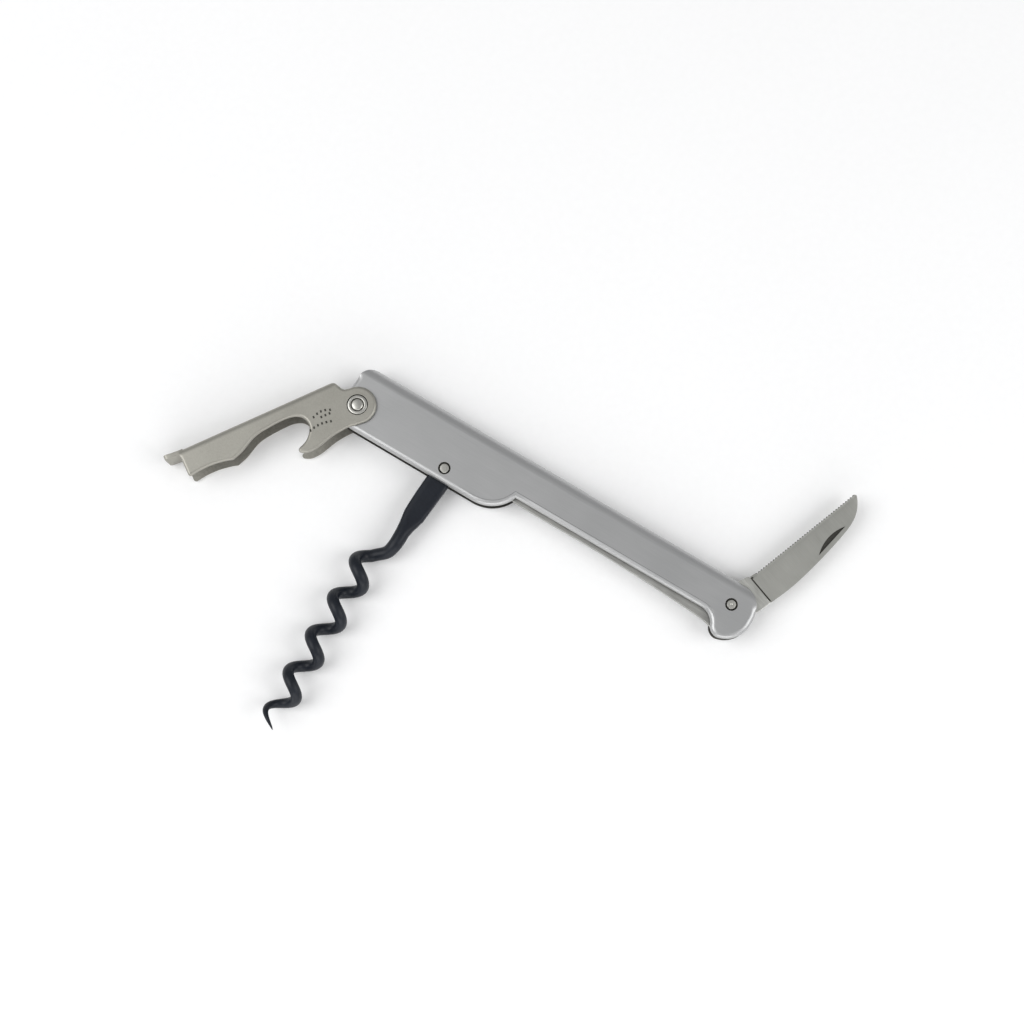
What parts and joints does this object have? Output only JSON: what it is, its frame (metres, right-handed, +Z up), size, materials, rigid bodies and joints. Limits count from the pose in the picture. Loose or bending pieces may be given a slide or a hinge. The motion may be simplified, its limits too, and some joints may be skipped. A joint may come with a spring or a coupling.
{
  "type": "lever corkscrew",
  "caption": "Slim all-steel waiter's corkscrew with hinged boot lever and cap lifter, folding coated worm and foil knife, shown partly open and lying flat.",
  "frame": {"origin": "middle of the footprint on the surface it lies on", "axes": "+X along the handle towards the knife end, +Y in the plane of the tool towards the handle's folded spine, +Z up through its thickness, front face up"},
  "size_m": [0.16, 0.1274, 0.0088],
  "materials": {
    "handle_steel": "satin rolled stainless sheet",
    "lever_steel": "bead-blasted matte steel",
    "rivet_steel": "polished",
    "worm_coating": "black low-friction coating, soft sheen",
    "blade_steel": "fine ground",
    "spring_steel": "plain ground edge"
  },
  "bodies": {
    "handle": {"handle_shell": "handle_steel", "back_spring": "spring_steel", "lever_bush": "rivet_steel", "lever_rivet": "rivet_steel", "worm_pin": "rivet_steel", "worm_washer_front": "rivet_steel", "worm_washer_rear": "rivet_steel", "knife_pin": "rivet_steel", "knife_washer_front": "rivet_steel", "knife_washer_rear": "rivet_steel"},
    "lever": {"lever": "lever_steel"},
    "worm": {"worm": "worm_coating"},
    "knife": {"knife_blade": "blade_steel"}
  },
  "joints": [
    {"name": "lever_hinge", "type": "hinge", "parent": "handle", "child": "lever", "pos_m": [-0.04436, 0.01763, 0.00425], "axis": [0, 0, 1], "range_deg": [-43, 55]},
    {"name": "worm_hinge", "type": "hinge", "parent": "handle", "child": "worm", "pos_m": [-0.01666, 0.01503, 0.00425], "axis": [0, 0, 1], "range_deg": [0, 89.1]},
    {"name": "knife_hinge", "type": "hinge", "parent": "handle", "child": "knife", "pos_m": [0.06364, 0.02213, 0.00425], "axis": [0, 0, 1], "range_deg": [-69, 105]}
  ]
}
